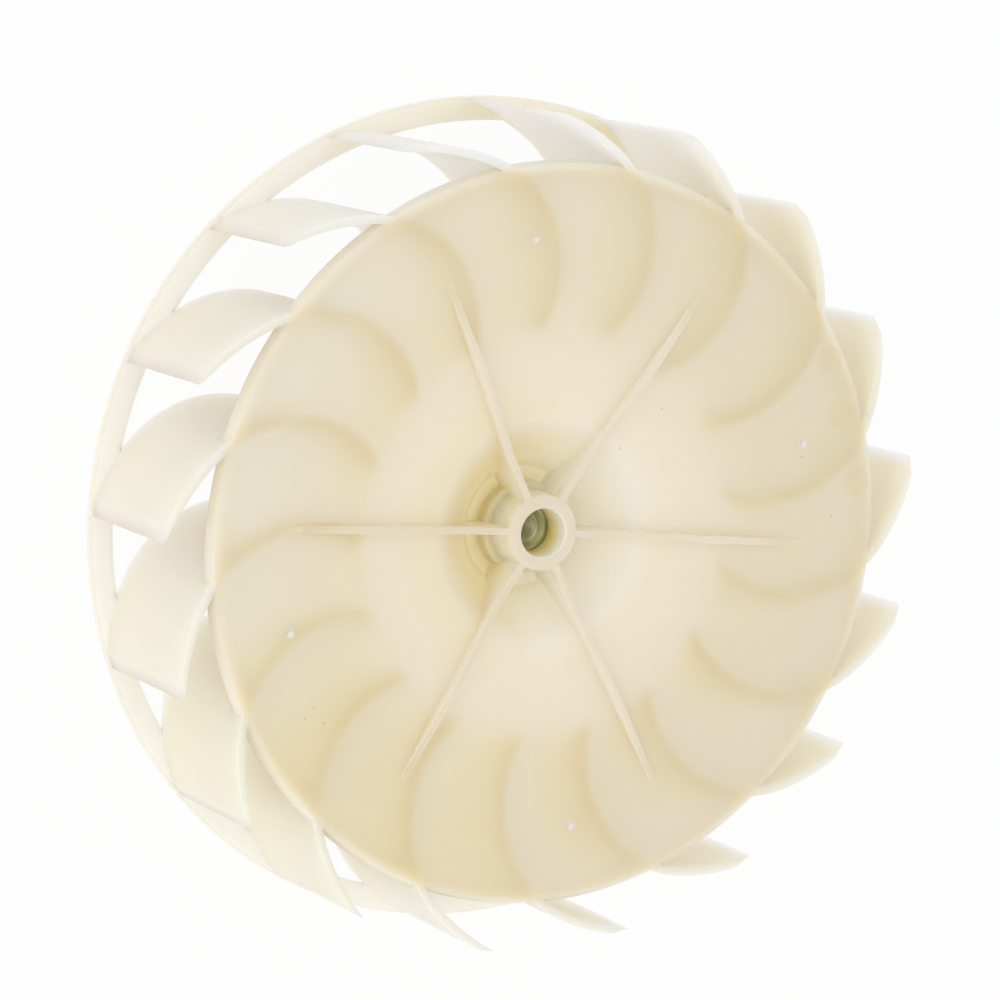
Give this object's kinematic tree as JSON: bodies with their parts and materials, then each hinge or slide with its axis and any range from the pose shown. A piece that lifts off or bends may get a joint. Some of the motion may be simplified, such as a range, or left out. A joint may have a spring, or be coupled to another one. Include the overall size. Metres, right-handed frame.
{
  "type": "blower wheel",
  "caption": "Moulded centrifugal blower wheel with backward-curved blades between a dished, ribbed plate and an inlet ring, turned by a threaded steel insert in its hub.",
  "frame": {"origin": "on the wheel's axis, in the plane of the inlet ring's outer face that the wheel rests on", "axes": "+Z along the wheel's axis, from the inlet ring to the plate and the hub's open end; +X along the first rib, counted as rib 1; +Y a quarter turn on, by the right-hand rule"},
  "size_m": [0.203, 0.203, 0.0446],
  "materials": {
    "polypropylene": "satin, natural and slightly see-through",
    "plated_steel": "turned, dulled zinc plate"
  },
  "bodies": {
    "root": {"wheel_moulding": "polypropylene", "hub_insert": "plated_steel"}
  },
  "joints": []
}
